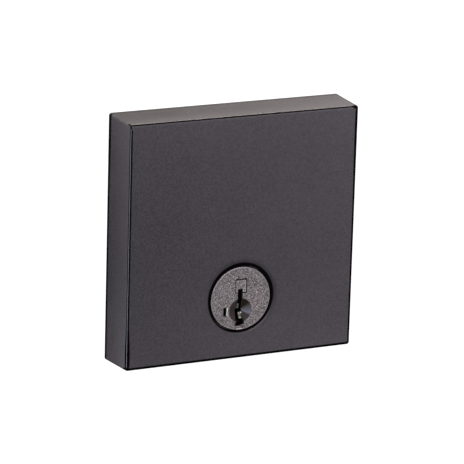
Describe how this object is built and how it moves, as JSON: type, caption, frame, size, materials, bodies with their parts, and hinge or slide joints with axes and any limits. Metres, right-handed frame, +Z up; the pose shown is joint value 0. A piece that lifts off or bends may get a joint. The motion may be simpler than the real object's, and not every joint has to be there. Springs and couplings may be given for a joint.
{
  "type": "deadbolt door lock",
  "caption": "Square-rose single-cylinder deadbolt: key plug low on the outer rose, geared spindle, tubular edge latch with a quarter-turn throw, and an indoor thumbturn.",
  "frame": {"origin": "centre of the outer rose's back face, on the cross bore's axis, in the plane of the door's outer face", "axes": "-Y outdoors, +Y indoors along the spindle, +Z up, +X toward the door's edge, the way the bolt leaves"},
  "size_m": [0.0945, 0.0875, 0.0684],
  "materials": {
    "dark_finish": "satin, near black with a faint plum tone",
    "plug_metal": "fine satin nickel tone",
    "insert_steel": "satin",
    "zinc_casting": "as cast",
    "hard_steel": "ground",
    "spring_steel": "bright",
    "plated_steel": "zinc plated",
    "screw_dark": "black oxide",
    "gear_steel": "sintered, lightly oiled",
    "follower_brass": "machined",
    "bolt_metal": "satin",
    "gasket_rubber": "dull",
    "nylon": "natural"
  },
  "bodies": {
    "lock_body": {"outer_rose": "dark_finish", "inner_rose": "dark_finish", "faceplate": "dark_finish", "cylinder_housing": "zinc_casting", "gear_cover": "zinc_casting", "guard_ring": "hard_steel", "weather_gasket": "gasket_rubber", "mounting_posts": "plated_steel", "gear_cover_screws": "plated_steel", "idler_axle": "hard_steel", "latch_tube": "plated_steel", "latch_side_outer": "plated_steel", "latch_side_inner": "plated_steel", "latch_pillars": "hard_steel", "inner_mounting_plate": "plated_steel", "through_screws": "screw_dark", "rose_set_screw": "screw_dark", "thumbturn_bushing": "nylon"},
    "turn_knob": {"thumbturn": "dark_finish", "thumbturn_clip": "spring_steel", "spring_washer": "spring_steel"},
    "key_plug": {"plug": "plug_metal", "plug_insert": "insert_steel", "key_followers": "follower_brass", "follower_springs": "spring_steel", "wafer_racks": "follower_brass", "rack_carriage": "follower_brass", "sidebar": "hard_steel", "sidebar_springs": "spring_steel", "plug_retainer": "spring_steel"},
    "drive": {"drive_gear": "gear_steel"},
    "idler": {"idler_gear": "gear_steel"},
    "spindle": {"driven_gear": "gear_steel", "torque_blade": "plated_steel"},
    "cam": {"bolt_cam": "gear_steel", "crank_pin": "hard_steel"},
    "dead_bolt": {"bolt": "bolt_metal", "bolt_core_pin": "hard_steel", "bolt_link": "plated_steel", "link_rivets": "hard_steel"}
  },
  "joints": [
    {"name": "thumbturn_turn", "type": "hinge", "parent": "lock_body", "child": "turn_knob", "pos_m": [0, 0.0565, 0], "axis": [0, 1, 0], "range_deg": [0, 90]},
    {"name": "plug_turn", "type": "hinge", "parent": "lock_body", "child": "key_plug", "pos_m": [0, 0, -0.01715], "axis": [0, 1, 0], "range_deg": [0, 90]},
    {"name": "drive_gear_turn", "type": "hinge", "parent": "lock_body", "child": "drive", "pos_m": [0, 0.0125, -0.01715], "axis": [0, 1, 0], "range_deg": [0, 90]},
    {"name": "idler_turn", "type": "hinge", "parent": "lock_body", "child": "idler", "pos_m": [0.00839, 0.0125, -0.00857], "axis": [0, 1, 0], "range_deg": [-135, 0]},
    {"name": "spindle_turn", "type": "hinge", "parent": "lock_body", "child": "spindle", "pos_m": [0, 0.03, 0], "axis": [0, 1, 0], "range_deg": [0, 90]},
    {"name": "cam_turn", "type": "hinge", "parent": "lock_body", "child": "cam", "pos_m": [0, 0.02223, 0], "axis": [0, 1, 0], "range_deg": [0, 90]},
    {"name": "bolt_slide", "type": "slide", "parent": "lock_body", "child": "dead_bolt", "axis": [1, 0, 0], "range_m": [0, 0.0254]}
  ],
  "couplings": [
    {"joint": "thumbturn_turn", "follows": "bolt_slide", "rad_per_m": 61.842},
    {"joint": "cam_turn", "follows": "bolt_slide", "rad_per_m": 61.842},
    {"joint": "spindle_turn", "follows": "bolt_slide", "rad_per_m": 61.842},
    {"joint": "idler_turn", "follows": "bolt_slide", "rad_per_m": -92.764},
    {"joint": "drive_gear_turn", "follows": "bolt_slide", "rad_per_m": 61.842},
    {"joint": "plug_turn", "follows": "bolt_slide", "rad_per_m": 61.842}
  ]
}
